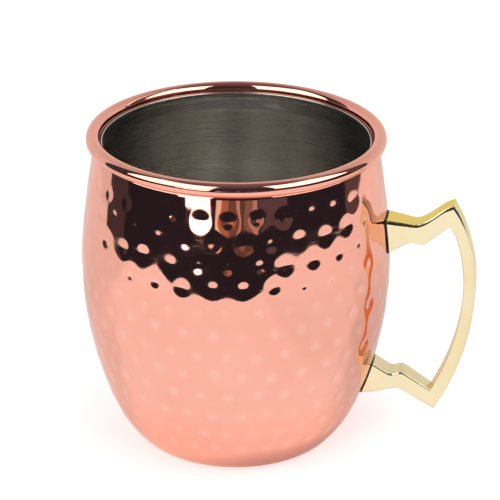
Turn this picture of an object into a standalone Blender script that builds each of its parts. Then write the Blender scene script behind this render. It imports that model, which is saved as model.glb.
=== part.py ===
"""A barrel-shaped copper mug with a cast brass handle, in metres with +Z up.

The origin is the centre of the flat base that the mug stands on, and the
handle points along +X. The copper shell is rolled over a wire at the rim and
holds a steel liner. One screw from inside the cup holds each foot of the
handle, with a dished washer under its head and a thin seal outside the wall.
"""

import math

import bmesh
import bpy
from mathutils import Matrix, Vector

MM = 0.001

# The body's outer side, from the rim down.
HEIGHT = 96.0 * MM
BEAD_RADIUS = 2.06 * MM
BEAD_CENTRE_R = 41.65 * MM
BEAD_CENTRE_Z = HEIGHT - BEAD_RADIUS
BEAD_END_ANGLE = -80
SHOULDER_Z = 91.5 * MM
SHOULDER_CORNER = 0.6 * MM
NECK_FILLET = 0.3 * MM
BELLY_R = 46.2 * MM
BELLY_TOP_Z = 55.5 * MM
BELLY_BOTTOM_Z = 53.0 * MM
UPPER_ARC = 90.0 * MM
NECK_SLOPE = 8.1
LOWER_ARC = 115.0 * MM
HEEL_TOP_Z = 12.0 * MM
HEEL_ARC = 40.0 * MM
BASE_CORNER = 2.0 * MM

# Sheets, wire and the room left between neighbours.
SHELL_SHEET = 0.8 * MM
LINER_SHEET = 0.5 * MM
LINER_GAP = 0.3 * MM
LINER_TURN_Z = 88.6 * MM
LINER_NECK_Z = 91.0 * MM
LINER_TOP_Z = 93.0 * MM
WIRE_RADIUS = 0.95 * MM
GAP = 0.2 * MM
SEAL_SHEET = 0.5 * MM
TURN_STEPS = 48

# The handle's grip: two arcs outside and two inside, upright where they meet.
GRIP_MID_Z = 50.5 * MM
GRIP_OUTER_X = 72.0 * MM
GRIP_INNER_X = 68.4 * MM
GRIP_OUTER_ARCS = (52.0 * MM, 85.0 * MM)
GRIP_INNER_ARCS = (50.0 * MM, 75.0 * MM)
GRIP_OUTER_SPAN = (75.3 * MM, 13.0 * MM)
GRIP_INNER_SPAN = (68.0 * MM, 20.5 * MM)
GRIP_STEPS = 12
GRIP_HALF_WIDTH = 2.9 * MM
EDGE_ROUND = 0.5 * MM

# Sections of the two arms in millimetres, from the wall outwards:
# x and z of the upper edge, x and z of the lower edge, half of the width.
UPPER_ARM = (
    (36.0, 73.2, 36.0, 54.7, 4.6),
    (45.0, 72.0, 45.6, 61.3, 4.2),
    (49.0, 71.5, 49.0, 63.4, 3.7),
    (53.9, 70.7, 51.7, 65.1, 3.2),
    (57.0, 72.5, 56.0, 64.4, 3.1),
    (61.8, 76.6, 60.0, 68.0, 3.0),
    (64.3, 77.7, 63.3, 71.0, 2.95),
)
LOWER_ARM = (
    (36.0, 28.0, 36.0, 13.4, 3.85),
    (42.3, 24.3, 41.0, 14.1, 3.7),
    (45.5, 22.4, 44.2, 14.7, 3.6),
    (48.2, 20.8, 47.6, 15.9, 3.45),
    (51.4, 22.2, 50.8, 16.5, 3.3),
    (55.5, 19.6, 54.4, 14.3, 3.1),
    (60.4, 16.5, 61.8, 10.0, 2.85),
)

# Fasteners: M3 screws, square to the wall.
UPPER_SCREW_Z = 67.2 * MM
LOWER_SCREW_Z = 19.9 * MM
SCREW_RADIUS = 1.5 * MM
SCREW_LENGTH = 8.0 * MM
SCREW_POINT = 0.4 * MM
HEAD_RADIUS = 2.8 * MM
HEAD_HEIGHT = 1.8 * MM
SLOT_WIDTH = 0.8 * MM
SLOT_DEPTH = 0.9 * MM
HOLE_RADIUS = 1.75 * MM
FOOT_HOLE_DEPTH = 6.0 * MM
WASHER_RADIUS = 4.5 * MM
WASHER_SHEET = 0.6 * MM
WASHER_DISH = 43.0 * MM
SMALL_TURN_STEPS = 24


def clear_scene():
    for obj in list(bpy.data.objects):
        bpy.data.objects.remove(obj, do_unlink=True)


def make_material(name, colour, roughness, metallic):
    material = bpy.data.materials.new(name)
    material.use_nodes = True
    shader = material.node_tree.nodes["Principled BSDF"]
    shader.inputs["Base Color"].default_value = (*colour, 1.0)
    shader.inputs["Roughness"].default_value = roughness
    shader.inputs["Metallic"].default_value = metallic
    return material


def add_object(name, mesh, material=None):
    obj = bpy.data.objects.new(name, mesh)
    bpy.context.scene.collection.objects.link(obj)
    if material:
        mesh.materials.append(material)
    return obj


def hide(obj):
    """Marks a cutter or a guide, which isn't a part of the mug."""
    obj.hide_render = True
    obj.display_type = "WIRE"
    return obj


def finish_mesh(name, work):
    """Turns a bmesh into a mesh with its faces pointing out, smooth but for sharp edges."""
    bmesh.ops.recalc_face_normals(work, faces=work.faces)
    mesh = bpy.data.meshes.new(name)
    work.to_mesh(mesh)
    work.free()
    mesh.shade_smooth()
    mesh.set_sharp_from_angle(angle=math.radians(35))
    return mesh


def turned(name, section, ring=False, steps=TURN_STEPS):
    """A mesh turned about Z from (radius, height) points.

    A ring's section is a closed loop. Any other section runs from the axis
    back to the axis, so its first and last points have radius 0.
    """
    work = bmesh.new()
    rows = []
    for radius, height in section:
        if radius == 0:
            rows.append([work.verts.new((0, 0, height))] * steps)
            continue
        angles = (2 * math.pi * step / steps for step in range(steps))
        rows.append([
            work.verts.new((radius * math.cos(a), radius * math.sin(a), height))
            for a in angles
        ])
    if ring:
        rows.append(rows[0])
    for low, high in zip(rows, rows[1:]):
        for step in range(steps):
            after = (step + 1) % steps
            corners = [low[step], low[after], high[after], high[step]]
            work.faces.new(list(dict.fromkeys(corners)))
    return finish_mesh(name, work)


def arc(centre, radius, start, end, steps):
    """Points on a circle from one angle to another, in degrees, ends included."""
    points = []
    for step in range(steps + 1):
        angle = math.radians(start + (end - start) * step / steps)
        points.append((
            centre[0] + radius * math.cos(angle),
            centre[1] + radius * math.sin(angle),
        ))
    return points


def upper_arc_centre():
    return BELLY_R - UPPER_ARC, BELLY_TOP_Z


def lower_arc_centre():
    return BELLY_R - LOWER_ARC, BELLY_BOTTOM_Z


def heel_angle():
    """How far the wall leans in, in degrees, where the heel starts."""
    return math.degrees(math.asin((BELLY_BOTTOM_Z - HEEL_TOP_Z) / LOWER_ARC))


def heel_centre():
    lean = math.radians(heel_angle())
    centre_r, centre_z = lower_arc_centre()
    beyond = LOWER_ARC - HEEL_ARC
    return centre_r + beyond * math.cos(lean), centre_z - beyond * math.sin(lean)


def base_corner_angle():
    """Where the heel's arc hands over to the small corner round the base."""
    rise = heel_centre()[1] - BASE_CORNER
    return math.degrees(math.asin(rise / (HEEL_ARC - BASE_CORNER)))


def base_corner_centre():
    lean = math.radians(base_corner_angle())
    return heel_centre()[0] + (HEEL_ARC - BASE_CORNER) * math.cos(lean), BASE_CORNER


def cone_radius(height, inset):
    """Radius of the straight neck at a height, with the face moved in by the inset."""
    slope = math.radians(NECK_SLOPE)
    centre_r, centre_z = upper_arc_centre()
    start_r = centre_r + UPPER_ARC * math.cos(slope)
    start_z = centre_z + UPPER_ARC * math.sin(slope)
    return start_r - (height - start_z) * math.tan(slope) - inset / math.cos(slope)


def wall_side(inset, top_z):
    """The wall's side from a height on the neck down to the base, moved in by the inset."""
    side = [(cone_radius(top_z, inset), top_z)]
    side += arc(upper_arc_centre(), UPPER_ARC - inset, NECK_SLOPE, 0, 2)
    side += arc(lower_arc_centre(), LOWER_ARC - inset, 0, -heel_angle(), 5)
    side += arc(heel_centre(), HEEL_ARC - inset, -heel_angle(), -base_corner_angle(), 3)[1:]
    side += arc(base_corner_centre(), BASE_CORNER - inset, -base_corner_angle(), -90, 3)[1:]
    return side


def wall_point(height):
    """Radius of the outer wall at a height, and how far its normal tilts up, in radians."""
    if height > BELLY_TOP_Z:
        centre, radius = upper_arc_centre(), UPPER_ARC
    else:
        centre, radius = lower_arc_centre(), LOWER_ARC
    tilt = math.asin((height - centre[1]) / radius)
    return centre[0] + radius * math.cos(tilt), tilt


def shell_section():
    """The copper sheet's section: up the outside, round the bead, down the inside."""
    neck_r = BEAD_CENTRE_R - BEAD_RADIUS + SHELL_SHEET
    bead = (BEAD_CENTRE_R, BEAD_CENTRE_Z)
    fillet = (neck_r + NECK_FILLET, SHOULDER_Z + NECK_FILLET)
    corner_r = cone_radius(SHOULDER_Z - SHOULDER_CORNER, 0) - SHOULDER_CORNER
    corner = (corner_r, SHOULDER_Z - SHOULDER_CORNER)
    section = [(0, 0)]
    section += reversed(wall_side(0, corner[1]))
    section += arc(corner, SHOULDER_CORNER, 30, 90, 2)
    section += arc(fillet, NECK_FILLET, 270, 180, 2)
    section += arc(bead, BEAD_RADIUS - SHELL_SHEET, 180, BEAD_END_ANGLE, 10)
    section += arc(bead, BEAD_RADIUS, BEAD_END_ANGLE, 180, 14)
    section += arc(fillet, NECK_FILLET + SHELL_SHEET, 180, 270, 3)
    section += wall_side(SHELL_SHEET, SHOULDER_Z - SHELL_SHEET)
    section.append((0, SHELL_SHEET))
    return section


def liner_section():
    """The steel cup's section, which follows the inside of the shell to the bead."""
    outer = SHELL_SHEET + LINER_GAP
    inner = outer + LINER_SHEET
    neck_r = BEAD_CENTRE_R - BEAD_RADIUS - LINER_GAP
    edge = LINER_SHEET / 2
    section = [(0, outer)]
    section += reversed(wall_side(outer, LINER_TURN_Z))
    section.append((neck_r, LINER_NECK_Z))
    section += arc((neck_r - edge, LINER_TOP_Z), edge, 0, 180, 4)
    section.append((neck_r - LINER_SHEET, LINER_NECK_Z - LINER_SHEET / 2))
    section += wall_side(inner, LINER_TURN_Z - LINER_SHEET / 2)
    section.append((0, inner))
    return section


def grown_body(clearance):
    """A solid of the body's outside, grown all round, for cutting what fits against it."""
    section = [(0, LINER_TOP_Z)]
    section += wall_side(-clearance, LINER_TOP_Z)
    section.append((0, -clearance))
    return hide(add_object("body_cutter", turned("body_cutter", section)))


def seal_band():
    """A band round the wall, as thick as the seals."""
    section = wall_side(-GAP - SEAL_SHEET, LINER_TOP_Z)
    section += reversed(wall_side(-GAP, LINER_TOP_Z))
    return hide(add_object("seal_band", turned("seal_band", section, ring=True)))


def screw_frame(height):
    """A matrix whose origin is on the outer wall over +X, and whose Z is the wall's normal."""
    radius, tilt = wall_point(height)
    turn = Matrix.Rotation(math.pi / 2 - tilt, 4, "Y")
    return Matrix.Translation(Vector((radius, 0, height))) @ turn


def hole_cutter(name, height):
    low = -WASHER_RADIUS
    section = [(0, low), (HOLE_RADIUS, low), (HOLE_RADIUS, FOOT_HOLE_DEPTH), (0, FOOT_HOLE_DEPTH)]
    cutter = add_object(name, turned(name, section, steps=SMALL_TURN_STEPS))
    cutter.matrix_world = screw_frame(height)
    return hide(cutter)


def boolean(obj, cutter, operation="DIFFERENCE"):
    modifier = obj.modifiers.new(cutter.name, "BOOLEAN")
    modifier.operation = operation
    modifier.solver = "EXACT"
    modifier.object = cutter


def grip_x(height, reach, arcs):
    """How far out the grip's face is at a height, from its upper or its lower arc."""
    drop = abs(height - GRIP_MID_Z)
    radius = arcs[0] if height > GRIP_MID_Z else arcs[1]
    return reach - radius + math.sqrt(radius * radius - drop * drop)


def grip_sections():
    sections = []
    for step in range(GRIP_STEPS + 1):
        share = step / GRIP_STEPS
        outer_z = GRIP_OUTER_SPAN[0] + (GRIP_OUTER_SPAN[1] - GRIP_OUTER_SPAN[0]) * share
        inner_z = GRIP_INNER_SPAN[0] + (GRIP_INNER_SPAN[1] - GRIP_INNER_SPAN[0]) * share
        outer_x = grip_x(outer_z, GRIP_OUTER_X, GRIP_OUTER_ARCS)
        inner_x = grip_x(inner_z, GRIP_INNER_X, GRIP_INNER_ARCS)
        sections.append((outer_x, outer_z, inner_x, inner_z, GRIP_HALF_WIDTH))
    return sections


def arm_sections(arm):
    return [tuple(value * MM for value in section) for section in arm]


def handle_sections():
    """Sections from the upper foot, round the grip, to the lower foot: outer edge, inner edge, half width."""
    lower = []
    for top_x, top_z, bottom_x, bottom_z, half in reversed(arm_sections(LOWER_ARM)):
        lower.append((bottom_x, bottom_z, top_x, top_z, half))
    return arm_sections(UPPER_ARM) + grip_sections() + lower


def strip(name, sections):
    """A mesh with four corners at each section, closed at both ends."""
    work = bmesh.new()
    rows = []
    for outer_x, outer_z, inner_x, inner_z, half in sections:
        corners = (
            (outer_x, -half, outer_z),
            (outer_x, half, outer_z),
            (inner_x, half, inner_z),
            (inner_x, -half, inner_z),
        )
        rows.append([work.verts.new(corner) for corner in corners])
    for near, far in zip(rows, rows[1:]):
        for side in range(4):
            after = (side + 1) % 4
            work.faces.new((near[side], near[after], far[after], far[side]))
    work.faces.new(rows[0])
    work.faces.new(rows[-1])
    return finish_mesh(name, work)


def round_edges(obj):
    modifier = obj.modifiers.new("round_edges", "BEVEL")
    modifier.width = EDGE_ROUND
    modifier.segments = 2
    modifier.limit_method = "ANGLE"
    modifier.angle_limit = math.radians(35)


def add_handle(material, body, holes):
    handle = add_object("handle", strip("handle", handle_sections()), material)
    round_edges(handle)
    boolean(handle, body)
    for hole in holes:
        boolean(handle, hole)


def add_seal(name, arm, material, band, hole):
    """The thin seal between a foot and the wall, with the foot's own outline."""
    seal = add_object(name, strip(name, arm_sections(arm)[:3]), material)
    round_edges(seal)
    boolean(seal, band, "INTERSECT")
    boolean(seal, hole)


def add_washer(name, height, material):
    """A washer dished to the curve of the wall that it lies on."""
    face = -SHELL_SHEET - LINER_GAP - LINER_SHEET - GAP
    section = []
    for radius in (HOLE_RADIUS, (HOLE_RADIUS + WASHER_RADIUS) / 2, WASHER_RADIUS):
        section.append((radius, face - radius * radius / (2 * WASHER_DISH)))
    section += [(radius, depth - WASHER_SHEET) for radius, depth in reversed(section)]
    washer = add_object(name, turned(name, section, ring=True, steps=SMALL_TURN_STEPS), material)
    washer.matrix_world = screw_frame(height)


def add_screw(name, height, material):
    """A slotted pan-head screw, its head inside the cup and its tip in the foot."""
    seat = -SHELL_SHEET - LINER_GAP - LINER_SHEET - WASHER_SHEET - 2 * GAP
    seat -= HEAD_RADIUS * HEAD_RADIUS / (2 * WASHER_DISH)
    tip = seat + SCREW_LENGTH
    crown = HEAD_HEIGHT / 2
    section = [(0, tip), (SCREW_RADIUS - SCREW_POINT, tip), (SCREW_RADIUS, tip - SCREW_POINT)]
    section += [(SCREW_RADIUS, seat), (HEAD_RADIUS, seat)]
    section += arc((HEAD_RADIUS - crown, seat - HEAD_HEIGHT + crown), crown, 0, -90, 3)
    section.append((0, seat - HEAD_HEIGHT))
    screw = add_object(name, turned(name, section, steps=SMALL_TURN_STEPS), material)
    screw.matrix_world = screw_frame(height)
    slot = slot_cutter(name + "_slot", height, seat - HEAD_HEIGHT + SLOT_DEPTH)
    boolean(screw, slot)


def slot_cutter(name, height, floor):
    """A block that cuts a screwdriver slot across the head, down to its floor."""
    work = bmesh.new()
    bmesh.ops.create_cube(work, size=1)
    deep = 2 * HEAD_HEIGHT
    bmesh.ops.scale(work, vec=(SLOT_WIDTH, 3 * HEAD_RADIUS, deep), verts=work.verts)
    bmesh.ops.translate(work, vec=(0, 0, floor - deep / 2), verts=work.verts)
    cutter = add_object(name, finish_mesh(name, work))
    cutter.matrix_world = screw_frame(height)
    return hide(cutter)


def build():
    clear_scene()
    copper = make_material("copper", (0.93, 0.47, 0.36), 0.14, 1.0)
    steel = make_material("liner_steel", (0.62, 0.61, 0.58), 0.25, 1.0)
    wire_steel = make_material("wire_steel", (0.45, 0.45, 0.45), 0.4, 1.0)
    brass = make_material("brass", (0.89, 0.72, 0.40), 0.12, 1.0)
    screw_steel = make_material("screw_steel", (0.58, 0.57, 0.55), 0.25, 1.0)
    seal_rubber = make_material("seal_rubber", (0.02, 0.015, 0.012), 0.6, 0.0)

    body = grown_body(2 * GAP + SEAL_SHEET)
    band = seal_band()
    upper_hole = hole_cutter("upper_hole", UPPER_SCREW_Z)
    lower_hole = hole_cutter("lower_hole", LOWER_SCREW_Z)
    holes = (upper_hole, lower_hole)

    shell = add_object("outer_shell", turned("outer_shell", shell_section()), copper)
    liner = add_object("inner_liner", turned("inner_liner", liner_section()), steel)
    for sheet in (shell, liner):
        for hole in holes:
            boolean(sheet, hole)

    wire = arc((BEAD_CENTRE_R, BEAD_CENTRE_Z), WIRE_RADIUS, 0, 315, 7)
    add_object("rim_wire", turned("rim_wire", wire, ring=True), wire_steel)

    add_handle(brass, body, holes)
    add_seal("upper_foot_seal", UPPER_ARM, seal_rubber, band, upper_hole)
    add_seal("lower_foot_seal", LOWER_ARM, seal_rubber, band, lower_hole)
    for place, height in (("upper", UPPER_SCREW_Z), ("lower", LOWER_SCREW_Z)):
        add_washer(place + "_washer", height, screw_steel)
        add_screw(place + "_handle_screw", height, screw_steel)


build()
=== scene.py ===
"""The looks of a hammered copper mug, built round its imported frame.

Lengths are in metres, in the frame's own axes: +Z up, the handle along +X. Angles are in degrees.
"""

import math

import bmesh
import bpy
import numpy as np
from mathutils import Matrix, Vector


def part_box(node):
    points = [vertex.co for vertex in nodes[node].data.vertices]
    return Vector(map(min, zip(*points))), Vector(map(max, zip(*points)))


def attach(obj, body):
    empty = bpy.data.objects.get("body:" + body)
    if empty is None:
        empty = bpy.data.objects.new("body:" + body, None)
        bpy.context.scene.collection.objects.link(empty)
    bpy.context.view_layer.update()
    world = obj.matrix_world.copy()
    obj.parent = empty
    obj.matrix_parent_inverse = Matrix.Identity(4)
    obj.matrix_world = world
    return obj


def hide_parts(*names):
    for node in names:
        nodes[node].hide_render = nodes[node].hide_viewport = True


MM = 0.001

# The body's outer side: a neck that is a very shallow arc, a belly of two arcs, a heel and a base.
BEAD_RADIUS = 2.06 * MM
BEAD_END_ANGLE = -88
SHOULDER_DROP = 4.2 * MM
SHOULDER_CORNER = 0.5 * MM
SHOULDER_START_ANGLE = 30
NECK_FILLET = 0.3 * MM
BELLY_TOP_Z = 55.5 * MM
BELLY_BOTTOM_Z = 53.0 * MM
UPPER_ARC = 90.0 * MM
NECK_SLOPE = 7.2
NECK_ARC = 473.0 * MM
LOWER_ARC = 115.0 * MM
HEEL_TOP_Z = 12.0 * MM
HEEL_ARC = 40.0 * MM
BASE_CORNER = 2.0 * MM
SHELL_SHEET = 0.8 * MM

LINER_SHEET = 0.5 * MM
LINER_GAP = 0.15 * MM
# How far under the shoulder the liner leaves the wall's curve, and where it reaches the neck.
LINER_TURN_DROP = 3.0 * MM
LINER_NECK_DROP = 0.6 * MM

# The hammering: staggered rows of shallow round dents, each with a deeper pit in its middle.
DENTS_ROUND = 34
DENT_ROWS = 12
DENT_FIRST_ROW = 6.4 * MM
DENT_ROW_PITCH = 6.45 * MM
DENT_ROW_GROWTH = 0.04 * MM
DENT_PHASE = -82.4
DENT_SIZE = 1.6 * MM
DENT_DEPTH = 0.18 * MM
DENT_DEPTH_GROWTH = 0.0009 * MM
DENT_DEEPEST_ROW = 5
DENT_SCATTER = 0.4 * MM
DENT_DEPTH_SCATTER = (0.85, 1.15)
DENT_SIZE_SCATTER = (0.93, 1.07)
DENT_SEED = 7
DENT_PIT_SHARE = 0.25
DENT_PIT_SIZE = 0.5
# A dent is worked out this many of its sizes up and down, where it has all but ended.
DENT_REACH = 3.5

# The handle's grip: two arcs outside and two inside, upright where they meet.
# Each span goes from the height of the grip's upper end to that of its lower end.
GRIP_MID_Z = 50.5 * MM
GRIP_OUTER_X = 72.0 * MM
GRIP_INNER_X = 68.4 * MM
GRIP_OUTER_ARCS = (52.0 * MM, 85.0 * MM)
GRIP_INNER_ARCS = (50.0 * MM, 75.0 * MM)
GRIP_OUTER_SPAN = (75.3 * MM, 13.0 * MM)
GRIP_INNER_SPAN = (68.0 * MM, 20.5 * MM)
GRIP_HALF_WIDTH = 2.9 * MM
GRIP_STEPS = 48
# Polishing bends each side face a little towards its edges, which stay crisp.
OUTER_ROLL = 1.6 * MM
OUTER_BEND = math.radians(11)
INNER_ROLL = 0.7 * MM
INNER_BEND = math.radians(30)
EDGE_RADIUS = 0.15 * MM
EDGE_STEPS = 6

# Sections of the two arms in millimetres, from the wall outwards:
# x and z of the upper edge, x and z of the lower edge, half of the width.
UPPER_ARM = (
    (36.0, 73.2, 36.0, 54.7, 4.6),
    (45.0, 72.0, 45.6, 61.3, 4.2),
    (49.0, 71.5, 49.0, 63.4, 3.7),
    (53.9, 70.7, 51.7, 65.1, 3.2),
    (57.0, 72.5, 56.0, 64.4, 3.1),
    (61.8, 76.6, 60.0, 68.0, 3.0),
    (64.3, 77.7, 63.3, 71.0, 2.95),
)
LOWER_ARM = (
    (36.0, 28.0, 36.0, 13.4, 3.85),
    (42.3, 24.3, 41.0, 14.1, 3.7),
    (45.5, 22.4, 44.2, 14.7, 3.6),
    (48.2, 20.8, 47.6, 15.9, 3.45),
    (51.4, 22.2, 50.8, 16.5, 3.3),
    (55.5, 19.6, 54.4, 14.3, 3.1),
    (60.4, 16.5, 61.8, 10.0, 2.85),
)
# The first sections of an arm make its foot, which the seal follows.
FOOT_SECTIONS = 4
CORNER_SHARE = 0.35
CORNER_STEPS = 4
SEAL_GAP = 0.03 * MM
SEAL_SHEET = 0.4 * MM

# Mesh density of the turned pieces. The shell's smooth inside has fewer columns than its wall.
COARSENING = 4
COLUMNS_TO_A_DENT = 14
SHELL_COLUMNS = DENTS_ROUND * COLUMNS_TO_A_DENT
INSIDE_COLUMNS = SHELL_COLUMNS // COARSENING
SMOOTH_COLUMNS = 192
WALL_STEP = 0.61 * MM
# Steps along the arcs of a coarse wall, and how much finer other walls are.
NECK_STEPS = 2
UPPER_STEPS = 3
LOWER_STEPS = 6
HEEL_STEPS = 4
BASE_CORNER_STEPS = 6
SMOOTH_FINENESS = 4
HAMMERED_FINENESS = 12
# Steps along the small arcs of the rim and of the liner's lip.
SHOULDER_STEPS = 2
FILLET_STEPS = 2
FILLET_INSIDE_STEPS = 3
BEAD_INSIDE_STEPS = 8
BEAD_STEPS = 26
LIP_STEPS = 8

# Edges that bend by more than this are shaded sharp.
SHELL_SHARP = 50
TURNED_SHARP = 40
CAST_SHARP = 40
COPY_SHARP = 35
# Corners closer than this are joined, and faces that bend by less than this are one face.
JOIN_DISTANCE = 0.001 * MM
FLAT_BEND = 0.3

# The camera looks down at the mug from the front, turned a little towards the handle.
CAMERA_AZIMUTH = 10.5
CAMERA_PLACE = Vector((79.8, -430.4, 260.2)) * MM
CAMERA_AIM = Vector((4.2, 0.0, 57.3)) * MM
CAMERA_ROLL = 0.31
CAMERA_LENS = 115.56
CAMERA_NEAREST = 10 * MM


# ---------------------------------------------------------------- shapes

def arc(centre, radius, start, end, steps):
    """Points on a circle with their outward angle, in degrees, both ends included."""
    points = []
    for step in range(steps + 1):
        degrees = start + (end - start) * step / steps
        angle = math.radians(degrees)
        points.append((
            centre[0] + radius * math.cos(angle),
            centre[1] + radius * math.sin(angle),
            degrees,
        ))
    return points


class Body:
    """The turned body's proportions, read from the frame and the arcs above."""

    def __init__(self):
        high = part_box("outer_shell")[1]
        wire_low, wire_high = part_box("rim_wire")
        self.belly_r = high.y
        self.bead_z = (wire_low.z + wire_high.z) / 2
        wire_radius = (wire_high.z - wire_low.z) / 2
        self.bead_r = wire_high.y - wire_radius
        self.shoulder_z = high.z - SHOULDER_DROP
        neck_r = self.bead_r - BEAD_RADIUS + SHELL_SHEET
        self.fillet = (neck_r + NECK_FILLET, self.shoulder_z + NECK_FILLET)
        self.upper = (self.belly_r - UPPER_ARC, BELLY_TOP_Z)
        self.lower = (self.belly_r - LOWER_ARC, BELLY_BOTTOM_Z)
        lean = math.radians(NECK_SLOPE)
        beyond = NECK_ARC - UPPER_ARC
        self.neck = (
            self.upper[0] - beyond * math.cos(lean),
            self.upper[1] - beyond * math.sin(lean),
        )
        self.heel_angle = math.degrees(math.asin((BELLY_BOTTOM_Z - HEEL_TOP_Z) / LOWER_ARC))
        lean = math.radians(self.heel_angle)
        beyond = LOWER_ARC - HEEL_ARC
        self.heel = (
            self.lower[0] + beyond * math.cos(lean),
            self.lower[1] - beyond * math.sin(lean),
        )
        rise = self.heel[1] - BASE_CORNER
        self.corner_angle = math.degrees(math.asin(rise / (HEEL_ARC - BASE_CORNER)))
        lean = math.radians(self.corner_angle)
        self.corner = (self.heel[0] + (HEEL_ARC - BASE_CORNER) * math.cos(lean), BASE_CORNER)

    def wall(self, inset, top_z, fineness=1):
        """(radius, height, outward angle) down the wall from a height on the neck to the base."""
        top_slope = math.degrees(math.asin((top_z - self.neck[1]) / (NECK_ARC - inset)))
        heel = (-self.heel_angle, -self.corner_angle)
        side = arc(self.neck, NECK_ARC - inset, top_slope, NECK_SLOPE, NECK_STEPS * fineness)
        side += arc(self.upper, UPPER_ARC - inset, NECK_SLOPE, 0, UPPER_STEPS * fineness)[1:]
        side += arc(self.lower, LOWER_ARC - inset, 0, -self.heel_angle, LOWER_STEPS * fineness)
        side += arc(self.heel, HEEL_ARC - inset, *heel, HEEL_STEPS * fineness)[1:]
        side += arc(self.corner, BASE_CORNER - inset, -self.corner_angle, -90, BASE_CORNER_STEPS)[1:]
        return side


def add_object(name, data, material=None):
    """Puts a mesh or a camera into the scene."""
    obj = bpy.data.objects.new(name, data)
    bpy.context.scene.collection.objects.link(obj)
    if material:
        data.materials.append(material)
    return obj


def face_out(mesh):
    work = bmesh.new()
    work.from_mesh(mesh)
    bmesh.ops.recalc_face_normals(work, faces=work.faces)
    work.to_mesh(mesh)
    work.free()


def smooth_mesh(name, points, faces, sharp):
    """A mesh that faces outwards, shaded smooth except at sharp edges."""
    mesh = bpy.data.meshes.new(name)
    mesh.from_pydata(points.reshape(-1, 3).tolist(), [], faces)
    mesh.validate()
    mesh.update()
    mesh.shade_smooth()
    face_out(mesh)
    mesh.set_sharp_from_angle(angle=math.radians(sharp))
    return mesh


def ring_faces(first, second, columns):
    """Quads between two rings of points that start at these indices."""
    faces = []
    for column in range(columns):
        after = (column + 1) % columns
        faces.append((first + column, first + after, second + after, second + column))
    return faces


def turned_points(section, columns):
    """Rings of points for each (radius, height) of a section."""
    angles = 2 * math.pi * np.arange(columns) / columns
    radii = np.array([point[0] for point in section])[:, None]
    heights = np.array([point[1] for point in section])[:, None]
    rings = np.empty((len(section), columns, 3))
    rings[:, :, 0] = radii * np.cos(angles)
    rings[:, :, 1] = radii * np.sin(angles)
    rings[:, :, 2] = heights
    return rings


def turned(name, section):
    """A mesh turned about Z, with a flat cap at each end."""
    columns = SMOOTH_COLUMNS
    faces = []
    for row in range(len(section) - 1):
        faces += ring_faces(row * columns, (row + 1) * columns, columns)
    last = (len(section) - 1) * columns
    faces.append(tuple(reversed(range(columns))))
    faces.append(tuple(range(last, last + columns)))
    return smooth_mesh(name, turned_points(section, columns), faces, TURNED_SHARP)


# ---------------------------------------------------------------- shell

def even_side(side, step):
    """The wall's side resampled at even steps, with the distance from its top."""
    points = np.array(side)
    lengths = np.hypot(np.diff(points[:, 0]), np.diff(points[:, 1]))
    along = np.concatenate([[0], np.cumsum(lengths)])
    count = int(round(along[-1] / step)) + 1
    wanted = np.linspace(0, along[-1], count)
    resampled = [np.interp(wanted, along, points[:, column]) for column in range(3)]
    return np.array(resampled).T, wanted


def dent_depths(along, radii, columns):
    """How deep the hammered surface lies under the smooth wall, for each row and column."""
    scatter = np.random.default_rng(DENT_SEED)
    azimuths = 2 * math.pi * np.arange(columns) / columns
    depth = np.zeros((len(along), columns))
    pitch = 2 * math.pi / DENTS_ROUND
    for row in range(DENT_ROWS):
        middle = DENT_FIRST_ROW + row * DENT_ROW_PITCH + row ** 2 * DENT_ROW_GROWTH
        start = math.radians(DENT_PHASE) + (row % 2) * pitch / 2
        for dent in range(DENTS_ROUND):
            sideways, down = scatter.normal(0, DENT_SCATTER, 2)
            strength = DENT_DEPTH + min(row, DENT_DEEPEST_ROW) ** 3 * DENT_DEPTH_GROWTH
            strength *= scatter.uniform(*DENT_DEPTH_SCATTER)
            size = DENT_SIZE * scatter.uniform(*DENT_SIZE_SCATTER)
            centre = middle + down
            near = np.abs(along - centre) < DENT_REACH * size
            turn = azimuths - (start + dent * pitch)
            turn = (turn + math.pi) % (2 * math.pi) - math.pi
            aside = radii[near][:, None] * turn[None, :] - sideways
            rise = (along[near] - centre)[:, None]
            spread_out = (aside ** 2 + rise ** 2) / (2 * size ** 2)
            bowl = (1 - DENT_PIT_SHARE) * np.exp(-spread_out)
            pit = DENT_PIT_SHARE * np.exp(-spread_out / DENT_PIT_SIZE ** 2)
            depth[near] += strength * (bowl + pit)
    return depth


def hammered_wall(body, top_z):
    """Rings of points up the hammered wall from the base, and how deep each point lies."""
    side, along = even_side(body.wall(0, top_z, HAMMERED_FINENESS), WALL_STEP)
    angles = np.radians(side[:, 2])
    depth = dent_depths(along, side[:, 0], SHELL_COLUMNS)
    rings = turned_points(side, SHELL_COLUMNS)
    around = 2 * math.pi * np.arange(SHELL_COLUMNS) / SHELL_COLUMNS
    rings[:, :, 0] -= depth * np.cos(angles)[:, None] * np.cos(around)
    rings[:, :, 1] -= depth * np.cos(angles)[:, None] * np.sin(around)
    rings[:, :, 2] -= depth * np.sin(angles)[:, None]
    return rings[::-1], depth[::-1]


def rim_section(body, top_z):
    """The sheet from the wall's top over the shoulder, up inside the bead and back round it."""
    wall_r = body.wall(0, top_z)[0][0]
    shoulder = (wall_r - SHOULDER_CORNER, top_z)
    bead = (body.bead_r, body.bead_z)
    section = arc(shoulder, SHOULDER_CORNER, SHOULDER_START_ANGLE, 90, SHOULDER_STEPS)
    section += arc(body.fillet, NECK_FILLET, 270, 180, FILLET_STEPS)
    section += arc(bead, BEAD_RADIUS - SHELL_SHEET, 180, BEAD_END_ANGLE, BEAD_INSIDE_STEPS)
    section += arc(bead, BEAD_RADIUS, BEAD_END_ANGLE, 180, BEAD_STEPS)
    return section


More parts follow.
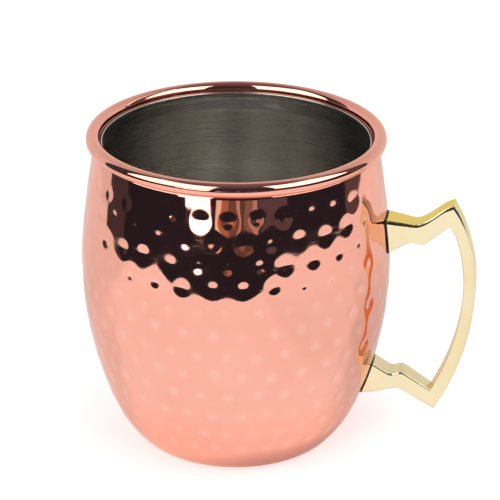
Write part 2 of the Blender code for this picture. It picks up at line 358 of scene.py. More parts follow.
def shell_faces(fine_rows, inside_rows):
    """Faces of the wall and rim, the change to fewer columns, the inside and both base discs."""
    faces = []
    for row in range(fine_rows - 1):
        faces += ring_faces(row * SHELL_COLUMNS, (row + 1) * SHELL_COLUMNS, SHELL_COLUMNS)
    last_fine = (fine_rows - 1) * SHELL_COLUMNS
    first_inside = fine_rows * SHELL_COLUMNS
    for column in range(INSIDE_COLUMNS):
        first = COARSENING * column
        edge = [last_fine + (first + step) % SHELL_COLUMNS for step in range(COARSENING + 1)]
        after = first_inside + (column + 1) % INSIDE_COLUMNS
        faces.append((*edge, after, first_inside + column))
    for row in range(inside_rows - 1):
        first = first_inside + row * INSIDE_COLUMNS
        faces += ring_faces(first, first + INSIDE_COLUMNS, INSIDE_COLUMNS)
    last = first_inside + (inside_rows - 1) * INSIDE_COLUMNS
    faces.append(tuple(reversed(range(SHELL_COLUMNS))))
    faces.append(tuple(range(last, last + INSIDE_COLUMNS)))
    return faces


def hammered_shell(body, material):
    """One copper sheet: the hammered wall, the bead rolled at its top and the smooth inside."""
    top_z = body.shoulder_z - SHOULDER_CORNER
    wall, depth = hammered_wall(body, top_z)
    rim = turned_points(rim_section(body, top_z), SHELL_COLUMNS)
    inside = arc(body.fillet, NECK_FILLET + SHELL_SHEET, 180, 270, FILLET_INSIDE_STEPS)
    inside += body.wall(SHELL_SHEET, body.shoulder_z - SHELL_SHEET)
    fine = np.concatenate([wall, rim])
    coarse = turned_points(inside, INSIDE_COLUMNS)
    points = np.concatenate([fine.reshape(-1, 3), coarse.reshape(-1, 3)])
    faces = shell_faces(len(fine), len(inside))
    mesh = smooth_mesh("hammered_shell", points, faces, SHELL_SHARP)
    # How deep each point of the wall is dented, kept for the copper's painted highlight in the dents.
    painted_dent_highlight = np.zeros(len(points))
    painted_dent_highlight[:depth.size] = (depth / depth.max()).ravel()
    mesh.attributes.new("painted_dent_highlight", "FLOAT", "POINT").data.foreach_set("value", painted_dent_highlight)
    return add_object("hammered_shell", mesh, material)


# ---------------------------------------------------------------- liner

def liner(body, material):
    """A thin cup inside the shell, up to a round lip at the bead's inner edge."""
    top_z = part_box("inner_liner")[1].z
    outer = SHELL_SHEET + LINER_GAP
    neck_r = body.bead_r - BEAD_RADIUS - LINER_GAP
    edge = LINER_SHEET / 2
    turn_z = body.shoulder_z - LINER_TURN_DROP
    neck_z = body.shoulder_z - LINER_NECK_DROP
    section = list(reversed(body.wall(outer, turn_z, SMOOTH_FINENESS)))
    section.append((neck_r, neck_z))
    section += arc((neck_r - edge, top_z - edge), edge, 0, 180, LIP_STEPS)
    section.append((neck_r - LINER_SHEET, neck_z - edge))
    section += body.wall(outer + LINER_SHEET, turn_z - edge, SMOOTH_FINENESS)
    return add_object("steel_liner", turned("steel_liner", section), material)


# ---------------------------------------------------------------- handle, seals and small parts

def arm_sections(arm):
    """An arm's sections in metres, with each corner between its ends turned into a short curve."""
    points = np.array(arm) * MM
    result = [points[0]]
    for before, corner, after in zip(points, points[1:], points[2:]):
        start = corner + (before - corner) * CORNER_SHARE
        end = corner + (after - corner) * CORNER_SHARE
        for step in range(CORNER_STEPS + 1):
            share = step / CORNER_STEPS
            near = start + (corner - start) * share
            far = corner + (end - corner) * share
            result.append(near + (far - near) * share)
    result.append(points[-1])
    return np.array(result)


def grip_x(height, reach, arcs):
    """How far out a side of the grip is at this height."""
    drop = abs(height - GRIP_MID_Z)
    radius = arcs[0] if height > GRIP_MID_Z else arcs[1]
    return reach - radius + math.sqrt(radius * radius - drop * drop)


def grip_sections():
    outer_heights = np.linspace(*GRIP_OUTER_SPAN, GRIP_STEPS + 1)
    inner_heights = np.linspace(*GRIP_INNER_SPAN, GRIP_STEPS + 1)
    sections = []
    for outer_z, inner_z in zip(outer_heights, inner_heights):
        outer_x = grip_x(outer_z, GRIP_OUTER_X, GRIP_OUTER_ARCS)
        inner_x = grip_x(inner_z, GRIP_INNER_X, GRIP_INNER_ARCS)
        sections.append((outer_x, outer_z, inner_x, inner_z, GRIP_HALF_WIDTH))
    return np.array(sections)


def handle_sections():
    """Sections from the upper foot round the grip to the lower foot.

    Each has x and z of the handle's outer edge, x and z of its inner edge and half of the width.
    The outer edge is the upper arm's upper one, but the lower arm's lower one.
    """
    lower_edge_first = [2, 3, 0, 1, 4]
    lower = arm_sections(LOWER_ARM)[::-1][:, lower_edge_first]
    return np.concatenate([arm_sections(UPPER_ARM), grip_sections(), lower])


def edge_points(roll, bend):
    """A polished edge in section, from the side face to the edge: (distance to the edge, drop)."""
    bend_radius = roll / math.sin(bend)
    points = []
    for angle in np.linspace(0, bend, EDGE_STEPS):
        along = EDGE_RADIUS * (1 - math.sin(bend)) + roll - bend_radius * math.sin(angle)
        points.append((along, bend_radius * (1 - math.cos(angle))))
    drop = points[-1][1] + EDGE_RADIUS * math.cos(bend)
    for angle in np.linspace(bend, math.pi / 2, EDGE_STEPS)[1:]:
        points.append((EDGE_RADIUS * (1 - math.sin(angle)), drop - EDGE_RADIUS * math.cos(angle)))
    return points


def bar_loop(outer_x, outer_z, inner_x, inner_z, half):
    """The bar's outline at one section, as (x, z, y) points."""
    outer = np.array([outer_x, outer_z])
    inner = np.array([inner_x, inner_z])
    depth = np.linalg.norm(inner - outer)
    inward = (inner - outer) / depth
    near = [(along, half - drop) for along, drop in edge_points(OUTER_ROLL, OUTER_BEND)]
    far = [(depth - along, half - drop) for along, drop in edge_points(INNER_ROLL, INNER_BEND)]
    right = near[::-1] + far
    left = [(along, -y) for along, y in reversed(right)]
    return [(*(outer + inward * along), y) for along, y in right + left]


def bar(name, sections, material):
    """A bar through all the sections, closed at both ends."""
    work = bmesh.new()
    rows = []
    for section in sections:
        rows.append([work.verts.new((x, y, z)) for x, z, y in bar_loop(*section)])
    for near, far in zip(rows, rows[1:]):
        for side in range(len(near)):
            after = (side + 1) % len(near)
            work.faces.new((near[side], near[after], far[after], far[side]))
    work.faces.new(rows[0])
    work.faces.new(rows[-1])
    bmesh.ops.recalc_face_normals(work, faces=work.faces)
    mesh = bpy.data.meshes.new(name)
    work.to_mesh(mesh)
    work.free()
    return add_object(name, mesh, material)


def grown_body(body, clearance):
    """The body's outer shape as a solid, larger by a clearance."""
    section = body.wall(-clearance, body.shoulder_z, SMOOTH_FINENESS)
    return add_object("grown_body", turned("grown_body", section))


def apply_modifiers(piece):
    graph = bpy.context.evaluated_depsgraph_get()
    piece.data = bpy.data.meshes.new_from_object(piece.evaluated_get(graph))
    piece.modifiers.clear()


def cut(piece, cutter, operation):
    """Applies a Boolean with the cutter, which is then removed."""
    modifier = piece.modifiers.new("cut", "BOOLEAN")
    modifier.operation = operation
    modifier.object = cutter
    apply_modifiers(piece)
    bpy.data.objects.remove(cutter)


def soften(mesh, sharp):
    """Joins faces that lie in one plane and shades the rest smooth, except at sharp edges."""
    work = bmesh.new()
    work.from_mesh(mesh)
    bmesh.ops.remove_doubles(work, verts=work.verts, dist=JOIN_DISTANCE)
    bend = math.radians(FLAT_BEND)
    bmesh.ops.dissolve_limit(work, angle_limit=bend, verts=work.verts, edges=work.edges)
    work.to_mesh(mesh)
    work.free()
    mesh.shade_smooth()
    mesh.set_sharp_from_angle(angle=math.radians(sharp))


def weigh_normals(piece):
    """Keeps flat sides flat, so that only the rounded edges between them bend the shading."""
    piece.modifiers.new("weigh_normals", "WEIGHTED_NORMAL").keep_sharp = True
    apply_modifiers(piece)


def handle_casting(body, material):
    """The brass handle, its two feet cut to the wall behind their seals."""
    handle = bar("brass_handle", handle_sections(), material)
    cut(handle, grown_body(body, SEAL_GAP * 2 + SEAL_SHEET), "DIFFERENCE")
    soften(handle.data, CAST_SHARP)
    weigh_normals(handle)
    return handle


def foot_seal(name, arm, body, material):
    """The thin seal between a foot and the wall, with the foot's own outline."""
    seal = bar(name, arm_sections(arm[:FOOT_SECTIONS]), material)
    cut(seal, grown_body(body, SEAL_GAP + SEAL_SHEET), "INTERSECT")
    cut(seal, grown_body(body, SEAL_GAP), "DIFFERENCE")
    soften(seal.data, CAST_SHARP)
    return seal


def smooth_copy(name, source, material):
    """The same solid as a CAD node, with smooth shading between its sharp edges."""
    mesh = source.data.copy()
    mesh.materials.clear()
    soften(mesh, COPY_SHARP)
    return add_object(name, mesh, material)


# ---------------------------------------------------------------- shader nodes

def fill(tree, socket, value):
    """Links an input to a socket, or sets it to a value. A colour is (red, green, blue)."""
    if isinstance(value, bpy.types.NodeSocket):
        tree.links.new(value, socket)
    elif socket.type == "RGBA":
        socket.default_value = (*value, 1)
    else:
        socket.default_value = value


def node(tree, kind, *values, operation=None, **inputs):
    """Adds a node. Values fill its inputs in order, and named ones fill the inputs of that name.

    Underscores in a name stand for spaces.
    """
    made = tree.nodes.new(kind)
    if operation:
        made.operation = operation
    for socket, value in zip(made.inputs, values):
        fill(tree, socket, value)
    for name, value in inputs.items():
        fill(tree, made.inputs[name.replace("_", " ")], value)
    return made


def plus(tree, first, second):
    return node(tree, "ShaderNodeMath", first, second, operation="ADD").outputs[0]


def times(tree, first, second):
    return node(tree, "ShaderNodeMath", first, second, operation="MULTIPLY").outputs[0]


def dot(tree, first, second):
    """How far one vector goes along another."""
    made = node(tree, "ShaderNodeVectorMath", first, second, operation="DOT_PRODUCT")
    return made.outputs["Value"]


def place_on_object(tree):
    return tree.nodes.new("ShaderNodeTexCoord").outputs["Object"]


def noise(tree, scale, detail=2.0, stretch=(1, 1, 1), turn=0):
    """Noise over the object, so many features to the metre, stretched along the axes."""
    rotation = (0, math.radians(turn), 0)
    place = place_on_object(tree)
    mapping = node(tree, "ShaderNodeMapping", Vector=place, Scale=stretch, Rotation=rotation)
    vector = mapping.outputs[0]
    made = node(tree, "ShaderNodeTexNoise", Vector=vector, Scale=scale, Detail=detail)
    return made.outputs["Fac"]


def spread(tree, value, start, end, low, high, smooth=False):
    """Maps a value from one range to another, and holds it within the second."""
    ranges = {"From_Min": start, "From_Max": end, "To_Min": low, "To_Max": high}
    made = node(tree, "ShaderNodeMapRange", Value=value, **ranges)
    if smooth:
        made.interpolation_type = "SMOOTHSTEP"
    return made.outputs[0]


def mix_colours(tree, share, first, second):
    """A colour between two others, which are sockets or colours."""
    mix = tree.nodes.new("ShaderNodeMix")
    mix.data_type = "RGBA"
    fill(tree, mix.inputs["Factor"], share)
    fill(tree, mix.inputs["A"], first)
    fill(tree, mix.inputs["B"], second)
    return mix.outputs["Result"]


def add_bump(tree, shader, height, depth):
    """Adds relief of this depth on top of what the surface already has."""
    bump = node(tree, "ShaderNodeBump", Strength=1.0, Distance=depth, Height=height)
    normal = shader.inputs["Normal"]
    if normal.links:
        fill(tree, bump.inputs["Normal"], normal.links[0].from_socket)
    fill(tree, normal, bump.outputs[0])


# ---------------------------------------------------------------- materials

# Nearly all noise lies in the first range. Hazy areas and painted dent highlights grow over the others.
NOISE_RANGE = (0.3, 0.7)
HAZE_RANGE = (0.4, 0.75)
DENT_HIGHLIGHT_RANGE = (0.25, 0.8)

# Scratches: their turns about Y, features to the metre, stretch, and the noise that makes one.
SCRATCH_TURNS = (12, 71, 128)
SCRATCH_SCALE = 160
SCRATCH_STRETCH = (1, 1, 14)
SCRATCH_RANGE = (0.68, 0.74)
SCRATCH_ROUGHNESS = 0.05
SCRATCH_DEPTH = 0.0006 * MM


def piece_material(name, metallic):
    """A material with its tree and its shader."""
    material = bpy.data.materials.new(name)
    material.use_nodes = True
    tree = material.node_tree
    shader = tree.nodes["Principled BSDF"]
    shader.inputs["Metallic"].default_value = metallic
    return material, tree, shader


def scratches(tree):
    """Fine hairlines in three directions: 1 on a scratch, 0 beside it."""
    lines = None
    for turn in SCRATCH_TURNS:
        grain = noise(tree, SCRATCH_SCALE, detail=1.0, stretch=SCRATCH_STRETCH, turn=turn)
        line = spread(tree, grain, *SCRATCH_RANGE, 0, 1)
        lines = plus(tree, lines, line) if lines else line
    return lines


def polished_metal(name, tones, edge, polish, haze):
    """A polished metal with soft tonal patches, hairline scratches and slightly hazy areas."""
    material, tree, shader = piece_material(name, 1.0)
    shader.inputs["Specular Tint"].default_value = (*edge, 1)
    patches = spread(tree, noise(tree, scale=38, detail=3.0), *NOISE_RANGE, 0, 1)
    fill(tree, shader.inputs["Base Color"], mix_colours(tree, patches, *tones))
    lines = scratches(tree)
    cloudy = spread(tree, noise(tree, scale=85, detail=4.0), *HAZE_RANGE, polish, haze)
    worn = spread(tree, lines, 0, 1, 0, SCRATCH_ROUGHNESS)
    fill(tree, shader.inputs["Roughness"], plus(tree, cloudy, worn))
    add_bump(tree, shader, lines, -SCRATCH_DEPTH)
    return material, tree, shader


def copper_material():
    """Polished copper, its dents lightened by a painted highlight, and faintly uneven from the hammer."""
    material, tree, shader = polished_metal(
        "polished_copper",
        tones=((0.95, 0.432, 0.328), (0.975, 0.462, 0.362)),
        edge=(0.97, 0.88, 0.84),
        polish=0.035,
        haze=0.075,
    )
    # Painted highlight: the copper's colour turns lighter where a dent is deeper.
    hammered = tree.nodes.new("ShaderNodeAttribute")
    hammered.attribute_name = "painted_dent_highlight"
    highlight_share = spread(tree, hammered.outputs["Fac"], *DENT_HIGHLIGHT_RANGE, 0, 1)
    colour = shader.inputs["Base Color"]
    plain = colour.links[0].from_socket
    fill(tree, colour, mix_colours(tree, highlight_share, plain, (0.99, 0.505, 0.408)))
    add_bump(tree, shader, noise(tree, scale=420), depth=0.004 * MM)
    add_bump(tree, shader, noise(tree, scale=120, detail=1.0), depth=0.012 * MM)
    return material


def brass_material():
    """Polished brass, with the faint waves of a hand-polished casting."""
    material, tree, shader = polished_metal(
        "polished_brass",
        tones=((0.90, 0.745, 0.445), (0.94, 0.81, 0.54)),
        edge=(0.96, 0.87, 0.66),
        polish=0.04,
        haze=0.10,
    )
    add_bump(tree, shader, noise(tree, scale=550, detail=3.0), depth=0.003 * MM)
    add_bump(tree, shader, noise(tree, scale=70, detail=1.0), depth=0.02 * MM)
    return material


def drawn_steel(name, tones, stretch, scale, depth, polish, haze):
    """Steel with fine parallel lines, whose direction the stretch sets."""
    material, tree, shader = piece_material(name, 1.0)
    lines = noise(tree, scale, detail=4.0, stretch=stretch)
    patches = spread(tree, noise(tree, scale=60, detail=3.0), *NOISE_RANGE, 0, 1)
    fill(tree, shader.inputs["Base Color"], mix_colours(tree, patches, *tones))
    fill(tree, shader.inputs["Roughness"], spread(tree, lines, *NOISE_RANGE, polish, haze))
    add_bump(tree, shader, lines, depth)
    return material


def liner_material():
    """Satin steel, brushed round the cup."""
    return drawn_steel(
        "satin_steel",
        tones=((0.56, 0.54, 0.51), (0.64, 0.62, 0.58)),
        stretch=(1, 1, 60),
        scale=45,
        depth=0.0015 * MM,
        polish=0.18,
        haze=0.30,
    )


def wire_material():
    """Dull drawn wire, its lines running round the rim."""
    return drawn_steel(
        "drawn_wire",
        tones=((0.36, 0.36, 0.37), (0.46, 0.46, 0.46)),
        stretch=(1, 1, 40),
        scale=120,
        depth=0.002 * MM,
        polish=0.28,
        haze=0.45,
    )


def screw_material():
    """Plain turned steel, with fine tool marks across the heads."""
    return drawn_steel(
        "turned_steel",
        tones=((0.53, 0.52, 0.50), (0.62, 0.61, 0.59)),
        stretch=(1, 9, 9),
        scale=300,
        depth=0.0015 * MM,
        polish=0.20,
        haze=0.34,
    )


def rubber_material():
    """Matt black rubber with a fine grain and a little dust."""
    material, tree, shader = piece_material("black_rubber", 0.0)
    grain = noise(tree, scale=2200, detail=3.0)
    dust = noise(tree, scale=240, detail=3.0)
    colour = mix_colours(tree, dust, (0.008, 0.006, 0.005), (0.026, 0.021, 0.018))
    fill(tree, shader.inputs["Base Color"], colour)
    rough = spread(tree, grain, *NOISE_RANGE, low=0.45, high=0.72)
    fill(tree, shader.inputs["Roughness"], rough)
    add_bump(tree, shader, grain, depth=0.02 * MM)
    return material


# ---------------------------------------------------------------- studio

# The studio is turned with the camera: x to the camera's right, y away from it. Azimuths in it
# are measured from the camera's side of the mug to the right, round a point at the mug's neck.
EYE_HEIGHT = 88 * MM
# The white behind the mug starts at this azimuth on both sides, and blurs by this much.
ROOM_SIDE = 108
ROOM_SIDE_BLUR = 0.5
# What the camera sees behind the mug.
WHITE = (1.02, 1.02, 1.02)
# What metal sees behind the mug and in front of it, from level to straight above.
BACK_TONES = [
    (0.0, (0.78, 0.80, 0.82)),
    (0.14, (0.79, 0.79, 0.79)),
    (0.40, (0.75, 0.75, 0.73)),
    (0.75, (0.58, 0.60, 0.58)),
    (0.92, (0.20, 0.18, 0.21)),
    (1.0, (0.16, 0.14, 0.17)),
]
FRONT_TONES = [
    (0.0, (0.02, 0.022, 0.032)),
    (0.45, (0.052, 0.044, 0.056)),
    (0.75, (0.07, 0.05, 0.06)),
    (0.92, (0.13, 0.12, 0.15)),
    (1.0, (0.16, 0.14, 0.17)),
]

# Half the side of the floor that the camera sees, its glow close to the mug and far from it, and
# the distances between which the first turns into the second.
FLOOR_HALF = 4.0
FLOOR_GLOW = 0.70
FLOOR_FAR_GLOW = 1.0
FLOOR_GLOW_NEAR = 0.15
FLOOR_GLOW_FAR = 0.7
# Floor and table are grey with light of their own, pink near the mug with painted light from the copper.
SURFACE_GREY = (0.5, 0.5, 0.5)
FLOOR_PINK = (0.97, 0.78, 0.76)
TABLE_PINK = (1.16, 0.84, 0.73)
PINK_NEAR = 32 * MM
FLOOR_PINK_FAR = 54 * MM
TABLE_PINK_FAR = 60 * MM

# Corners of the table top that metal sees instead of the floor, in millimetres.
TABLE_OUTLINE = [
    (-300, -215), (60, -280), (200, -370), (330, -330),
    (390, -200), (410, 0), (600, 700), (-300, 700),
]
TABLE_GLOW = 0.57
# Where the table's light fades: direction, start and end, least share.
TABLE_FADES = [
    ((-0.5, 0.87, 0), 0.06, 0.12, 0.72),
    ((0.5, 0.87, 0), 0.05, 0.20, 0.90),
    ((1, 0, 0), 0.05, 0.09, 0.88),
]
# The mug's soft shadow on the table: y where it starts and where it is full, the distances from
# the axis where it starts to end and is gone, and the share of light left in it.
SHADOW_START = -0.035
SHADOW_FULL = -0.005
SHADOW_NEAR = 0.09
SHADOW_FAR = 0.22
SHADOW_SHARE = 0.55
# It is weaker on the left: x where it is weakest, and the part of it that is gone there.
SHADOW_LEFT = -0.06
SHADOW_LEFT_LIFT = 0.5
# The painted contact shadow, a darker ring where the mug stands: the distances from the axis where it
# starts to end and is gone, x where it starts and where it is full, and the share of light left in it.
CONTACT_NEAR = 0.033
CONTACT_FAR = 0.040
CONTACT_LEFT = -0.025
CONTACT_RIGHT = 0.01
CONTACT_SHARE = 0.3

# The warm card in millimetres: left, right, low, high and how far behind the mug's axis.
AMBER_CARD = (42, 74, 73, 100, 42)
AMBER = (0.82, 0.74, 0.36)
# The line of sight in the mug's frame along which the card shows, and how close to it, as a
# cosine, another line has to be.
AMBER_SIGHT = Vector((-0.165, 0.952, 0.259)).normalized()
AMBER_EDGE = 0.90
AMBER_EDGE_BLUR = 0.01

# (name, azimuths, elevations, distance, colour) of what stands in the room.
ROOM = [
    ("left_softbox", (-85, -18), (7, 58), 1.2, (2.6, 2.6, 2.6)),
    ("right_softbox", (28, 109), (16, 60), 1.2, (2.6, 2.6, 2.6)),
    ("window", (-37, -19), (-4.9, 2), 0.6, (3.2, 3.2, 3.2)),
    ("window_sill", (-31, -20), (-6.5, -4.9), 0.6, (3.2, 3.2, 3.2)),
    ("window_side", (-43, -37), (-2.0, 2), 0.6, (3.2, 3.2, 3.2)),
    ("window_blind", (-56, -43), (-1.5, 2), 0.6, (0.11, 0.075, 0.07)),
    ("left_curtain", (-108, -87), (-16, 60), 0.6, (0.06, 0.056, 0.062)),
    ("right_curtain", (88, 108), (-16, 60), 0.6, (0.10, 0.085, 0.09)),
    ("lamp_edge", (-14.5, -10.5), (-6.3, -1), 0.62, (0.94, 0.85, 0.70)),
    ("lamp_shade", (-10.5, -5.5), (-6.3, -1), 0.62, (0.40, 0.22, 0.13)),
    ("shelf_side", (-5.5, 0), (-6.3, -1), 0.62, (0.17, 0.11, 0.09)),
    ("shelf_edge", (0, 2.5), (-7.0, -1), 0.62, (0.55, 0.42, 0.36)),
    ("shelf_back", (2.5, 6.5), (-7.0, -1), 0.62, (0.12, 0.08, 0.06)),
    ("crate", (6.5, 12), (-6.3, -1), 0.62, (0.24, 0.17, 0.13)),
    ("crate_edge", (12, 15), (-6.3, -1), 0.62, (0.48, 0.36, 0.32)),
    ("chair", (16, 37), (-5.6, 0), 0.62, (0.10, 0.09, 0.105)),
]
# About how many degrees apart the rows and columns of a sheet in the room are.
PATCH_STEP = 4


def studio_frame():
    """Turns the studio's directions into the mug's frame."""
    return Matrix.Rotation(math.radians(CAMERA_AZIMUTH), 4, "Z")


def ramp(tree, value, stops):
    """A colour that follows a value through (value, colour) stops."""
    made = node(tree, "ShaderNodeValToRGB", value)
    elements = made.color_ramp.elements
    elements[0].position = stops[0][0]
    elements[1].position = stops[-1][0]
    for position, _ in stops[1:-1]:
        elements.new(position)
    for element, (_, colour) in zip(elements, stops):
        element.color = (*colour, 1)
    return made.outputs["Color"]


def studio_world():
    """White to the camera. Metal sees white behind the mug and a dark room in front and above."""
    world = bpy.data.worlds.new("studio")
    bpy.context.scene.world = world
    world.use_nodes = True
    tree = world.node_tree
    tree.nodes.clear()
    place = tree.nodes.new("ShaderNodeTexCoord").outputs["Generated"]
    angle = math.radians(-CAMERA_AZIMUTH)
    turn = node(tree, "ShaderNodeVectorRotate", Vector=place, Angle=angle)
    turn.rotation_type = "Z_AXIS"
    sight = node(tree, "ShaderNodeSeparateXYZ", turn.outputs[0]).outputs
    back = ramp(tree, sight["Z"], BACK_TONES)
    front = ramp(tree, sight["Z"], FRONT_TONES)

    flat = node(tree, "ShaderNodeCombineXYZ", X=sight["X"], Y=sight["Y"]).outputs[0]
    level = node(tree, "ShaderNodeVectorMath", flat, operation="NORMALIZE").outputs[0]
    away = node(tree, "ShaderNodeSeparateXYZ", level).outputs["Y"]
    start = -math.cos(math.radians(ROOM_SIDE - ROOM_SIDE_BLUR))
    end = -math.cos(math.radians(ROOM_SIDE + ROOM_SIDE_BLUR))
    room = mix_colours(tree, spread(tree, away, start, end, 0, 1), front, back)
    to_camera = tree.nodes.new("ShaderNodeLightPath").outputs["Is Camera Ray"]
    seen = mix_colours(tree, to_camera, room, WHITE)
    light = node(tree, "ShaderNodeBackground", Color=seen)
    node(tree, "ShaderNodeOutputWorld", Surface=light.outputs[0])


def fade(tree, direction, start, end, least):
    """1 up to a start, then down to the least value at the end, along a direction."""
    along = dot(tree, place_on_object(tree), direction)
    return spread(tree, along, start, end, 1.0, least, smooth=True)


def reach(tree):
    """The distance from the mug's axis, on the floor."""
    length = node(tree, "ShaderNodeVectorMath", place_on_object(tree), operation="LENGTH")
    return length.outputs["Value"]


def bare_material(name):
    material = bpy.data.materials.new(name)
    material.use_nodes = True
    material.node_tree.nodes.clear()
    return material, material.node_tree


def lit_material(name, pink, pink_far):
    """A grey surface with light of its own, pink near the mug with painted light from the copper."""
    material, tree = bare_material(name)
    diffuse = node(tree, "ShaderNodeBsdfDiffuse", Color=SURFACE_GREY).outputs[0]
    # Painted light thrown by the copper: the glow turns pink close to the mug.
    closeness = spread(tree, reach(tree), PINK_NEAR, pink_far, 1, 0)
    painted_copper_glow = mix_colours(tree, closeness, (1, 1, 1), pink)
    light = node(tree, "ShaderNodeEmission", Color=painted_copper_glow)
    both = node(tree, "ShaderNodeAddShader", diffuse, light.outputs[0])
    node(tree, "ShaderNodeOutputMaterial", Surface=both.outputs[0])
    return material, tree, light


def floor_material():
    material, tree, light = lit_material("pale_floor", FLOOR_PINK, FLOOR_PINK_FAR)
    glow = spread(tree, reach(tree), FLOOR_GLOW_NEAR, FLOOR_GLOW_FAR, FLOOR_GLOW, FLOOR_FAR_GLOW)
    fill(tree, light.inputs["Strength"], glow)
    return material


def shadow(tree):
    """The share of the table's light outside and inside the mug's soft shadow."""
    lit_front = fade(tree, (0, 1, 0), SHADOW_START, SHADOW_FULL, 0)
    lit_far = spread(tree, reach(tree), SHADOW_NEAR, SHADOW_FAR, 0, 1)
    left = fade(tree, (1, 0, 0), SHADOW_LEFT, 0, 0)
    lit_left = spread(tree, left, 0, 1, 0, SHADOW_LEFT_LIFT)
    lit = plus(tree, plus(tree, lit_front, lit_far), lit_left)
    return spread(tree, lit, 0, 1, SHADOW_SHARE, 1)


def contact_shadow(tree):
    """The share of the table's light outside and inside the painted shadow ring where the mug stands."""
    lit_round = spread(tree, reach(tree), CONTACT_NEAR, CONTACT_FAR, 0, 1)
    lit_left = fade(tree, (1, 0, 0), CONTACT_LEFT, CONTACT_RIGHT, 0)
    return spread(tree, plus(tree, lit_round, lit_left), 0, 1, CONTACT_SHARE, 1)


def table_material():
    material, tree, light = lit_material("pale_table", TABLE_PINK, TABLE_PINK_FAR)
    strength = TABLE_GLOW
    for direction, start, end, least in TABLE_FADES:
        strength = times(tree, strength, fade(tree, direction, start, end, least))
    strength = times(tree, strength, shadow(tree))
    strength = times(tree, strength, contact_shadow(tree))
    fill(tree, light.inputs["Strength"], strength)
    return material


def glow_material(name, colour):
    material, tree = bare_material(name)
    glow = node(tree, "ShaderNodeEmission", Color=colour, Strength=1.0)
    node(tree, "ShaderNodeOutputMaterial", Surface=glow.outputs[0])
    return material


def amber_material():
    """A warm glow along one line of sight, and clear from everywhere else."""
    material, tree = bare_material("amber_card")
    incoming = tree.nodes.new("ShaderNodeNewGeometry").outputs["Incoming"]
    line = dot(tree, incoming, -AMBER_SIGHT)
    seen = spread(tree, line, AMBER_EDGE, AMBER_EDGE + AMBER_EDGE_BLUR, 0, 1)
    clear = tree.nodes.new("ShaderNodeBsdfTransparent").outputs[0]
    glow = node(tree, "ShaderNodeEmission", Color=AMBER, Strength=1.0).outputs[0]
    both = node(tree, "ShaderNodeMixShader", seen, clear, glow)
    node(tree, "ShaderNodeOutputMaterial", Surface=both.outputs[0])
    return material


def flat_sheet(name, corners, material):
    mesh = bpy.data.meshes.new(name)
    mesh.from_pydata(corners, [], [tuple(range(len(corners)))])
    return add_object(name, mesh, material)


def only_in_reflections(obj):
    """Puts an object in the studio's frame, where only polished surfaces see it."""
    obj.matrix_world = studio_frame()
    obj.visible_camera = False
    obj.visible_diffuse = False
    obj.visible_shadow = False


def floor():
    """The floor that the camera sees, and that metal doesn't."""
    far = FLOOR_HALF
    corners = [(-far, -far, 0), (far, -far, 0), (far, far, 0), (-far, far, 0)]
    sheet = flat_sheet("floor", corners, floor_material())
    sheet.visible_glossy = False


def table_top():
    corners = [(x * MM, y * MM, 0) for x, y in TABLE_OUTLINE]
    only_in_reflections(flat_sheet("table_top", corners, table_material()))


def amber_card():
    """A small warm card behind the handle's upper arm, for the arm's top to reflect."""
    left, right, low, high, back = [value * MM for value in AMBER_CARD]
    corners = [(left, back, low), (right, back, low), (right, back, high), (left, back, high)]
    only_in_reflections(flat_sheet("amber_card", corners, amber_material()))


def room_patch(name, azimuths, elevations, distance, colour):
    """A glowing sheet, part of a sphere round the mug's neck."""
    columns = max(1, int((azimuths[1] - azimuths[0]) / PATCH_STEP))
    rows = max(1, int((elevations[1] - elevations[0]) / PATCH_STEP))
    points = []
    for rise in np.radians(np.linspace(*elevations, rows + 1)):
        for turn in np.radians(np.linspace(*azimuths, columns + 1)):
            points.append((
                distance * math.cos(rise) * math.sin(turn),
                -distance * math.cos(rise) * math.cos(turn),
                EYE_HEIGHT + distance * math.sin(rise),
            ))
    faces = []
    for row in range(rows):
        for column in range(columns):
            first = row * (columns + 1) + column
            faces.append((first, first + 1, first + columns + 2, first + columns + 1))
    mesh = bpy.data.meshes.new(name)
    mesh.from_pydata(points, [], faces)
    patch = add_object(name, mesh, glow_material(name, colour))
    patch.matrix_world = studio_frame()
    patch.visible_camera = False
    patch.visible_shadow = False


def studio():
    studio_world()
    floor()
    table_top()
    for patch in ROOM:
        room_patch(*patch)
    amber_card()


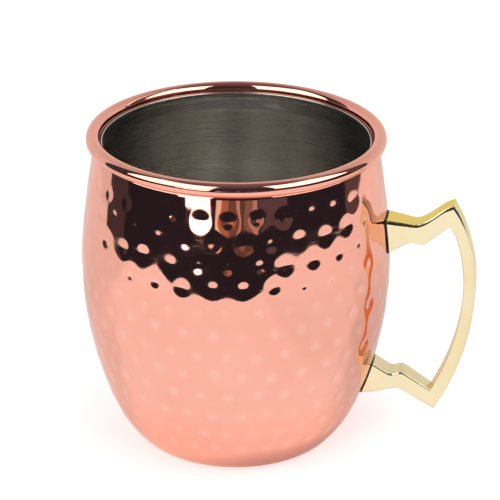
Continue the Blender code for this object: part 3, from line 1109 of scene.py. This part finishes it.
def add_camera():
    data = bpy.data.cameras.new("camera")
    data.lens = CAMERA_LENS
    data.clip_start = CAMERA_NEAREST
    camera = add_object("camera", data)
    ahead = (CAMERA_AIM - CAMERA_PLACE).normalized()
    turn = ahead.to_track_quat("-Z", "Y").to_matrix().to_4x4()
    roll = Matrix.Rotation(math.radians(CAMERA_ROLL), 4, "Z")
    camera.matrix_world = Matrix.Translation(CAMERA_PLACE) @ turn @ roll
    bpy.context.scene.camera = camera


# ---------------------------------------------------------------- the mug

bpy.context.scene.view_settings.view_transform = "Standard"
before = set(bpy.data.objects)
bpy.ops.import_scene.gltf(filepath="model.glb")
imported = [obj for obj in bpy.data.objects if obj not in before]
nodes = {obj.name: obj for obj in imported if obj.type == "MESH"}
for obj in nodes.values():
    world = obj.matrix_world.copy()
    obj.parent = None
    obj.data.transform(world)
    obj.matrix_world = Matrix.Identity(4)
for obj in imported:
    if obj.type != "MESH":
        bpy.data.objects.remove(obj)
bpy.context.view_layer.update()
body = Body()
steel = screw_material()
rubber = rubber_material()

# (piece, the CAD node it stands for, a word for its finish)
pieces = [
    (hammered_shell(body, copper_material()), "outer_shell", "copper"),
    (liner(body, liner_material()), "inner_liner", "liner_steel"),
    (smooth_copy("bead_wire", nodes["rim_wire"], wire_material()), "rim_wire", "wire_steel"),
    (handle_casting(body, brass_material()), "handle", "brass"),
    (foot_seal("upper_seal", UPPER_ARM, body, rubber), "upper_foot_seal", "seal_rubber"),
    (foot_seal("lower_seal", LOWER_ARM, body, rubber), "lower_foot_seal", "seal_rubber"),
    (smooth_copy("upper_dished_washer", nodes["upper_washer"], steel), "upper_washer", "screw_steel"),
    (smooth_copy("lower_dished_washer", nodes["lower_washer"], steel), "lower_washer", "screw_steel"),
    (smooth_copy("upper_screw", nodes["upper_handle_screw"], steel), "upper_handle_screw", "screw_steel"),
    (smooth_copy("lower_screw", nodes["lower_handle_screw"], steel), "lower_handle_screw", "screw_steel"),
]
for piece, cad_node, finish in pieces:
    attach(piece, "root")
    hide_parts(cad_node)

studio()
add_camera()
